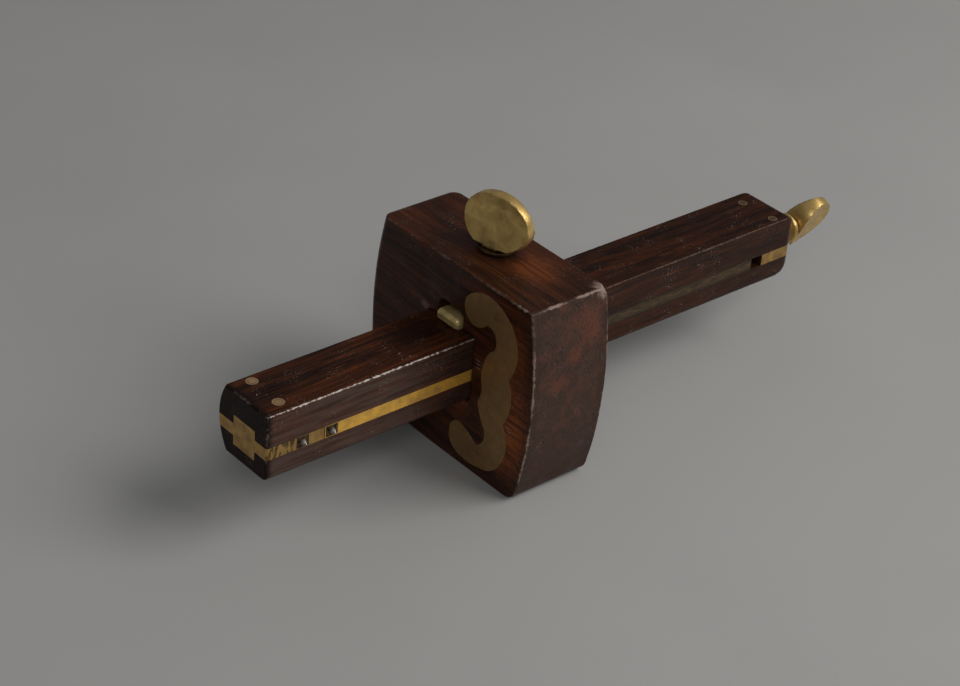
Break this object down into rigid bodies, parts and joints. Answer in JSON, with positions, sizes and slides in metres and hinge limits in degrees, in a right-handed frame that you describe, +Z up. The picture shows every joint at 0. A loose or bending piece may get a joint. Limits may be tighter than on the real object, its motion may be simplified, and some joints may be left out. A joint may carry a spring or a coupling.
{
  "type": "marking gauge",
  "caption": "Mortise marking gauge: a wooden fence locked by a thumbscrew on a brass-cored stem, with a fixed steel spur and a screw-adjusted steel spur.",
  "frame": {"origin": "middle of the whole gauge's length and width, at the underside of the fence", "axes": "+X along the stem from the spurs to the adjusting screw, +Z up through the lock screw, the spurs point along -Y"},
  "size_m": [0.2274, 0.0726, 0.08],
  "materials": {
    "rosewood_fence": "oiled dark rosewood, worn at the arrises",
    "plate_brass": "dull aged brass",
    "bush_brass": "dark aged brass",
    "shoe_brass": "worn bright brass",
    "screw_brass": "satin handled brass",
    "rosewood_stem": "oiled very dark rosewood",
    "block_brass": "worn brown-gold brass",
    "rivet_brass": "pale rubbed brass",
    "spur_steel": "dark steel with a bright point",
    "slide_brass": "brass, bright near the spurs and dull behind"
  },
  "bodies": {
    "fence": {"fence_block": "rosewood_fence", "wear_plate": "plate_brass", "wear_plate_pin_upper": "plate_brass", "wear_plate_pin_lower": "plate_brass", "lock_bush": "bush_brass"},
    "shoe": {"pressure_shoe": "shoe_brass"},
    "lock_screw": {"lock_screw": "screw_brass"},
    "stem": {"stem_upper": "rosewood_stem", "stem_lower": "rosewood_stem", "front_block": "block_brass", "rear_block": "block_brass", "front_rivet_left": "rivet_brass", "front_rivet_right": "rivet_brass", "rear_rivet_left": "rivet_brass", "rear_rivet_right": "rivet_brass", "fixed_spur": "spur_steel"},
    "slide": {"slide_bar": "slide_brass", "moving_spur": "spur_steel", "swivel_pin": "spur_steel"},
    "adjust_screw": {"adjust_screw": "screw_brass"}
  },
  "joints": [
    {"name": "stem_slide", "type": "slide", "parent": "fence", "child": "stem", "axis": [1, 0, 0], "range_m": [-0.09, 0.041]},
    {"name": "shoe_lift", "type": "slide", "parent": "fence", "child": "shoe", "axis": [0, 0, 1], "range_m": [0, 0.0015]},
    {"name": "lock_turn", "type": "hinge", "parent": "shoe", "child": "lock_screw", "pos_m": [-0.02767, 0, 0.0473], "axis": [0, 0, 1], "range_deg": [0, 540]},
    {"name": "slide_travel", "type": "slide", "parent": "stem", "child": "slide", "axis": [1, 0, 0], "range_m": [-0.0002, 0.0042]},
    {"name": "adjust_turn", "type": "hinge", "parent": "slide", "child": "adjust_screw", "pos_m": [0.05833, 0, 0.031], "axis": [1, 0, 0], "range_deg": [-90, 1890]}
  ],
  "couplings": [
    {"joint": "lock_turn", "follows": "shoe_lift", "rad_per_m": 6283.2},
    {"joint": "adjust_turn", "follows": "slide_travel", "rad_per_m": 7854}
  ]
}
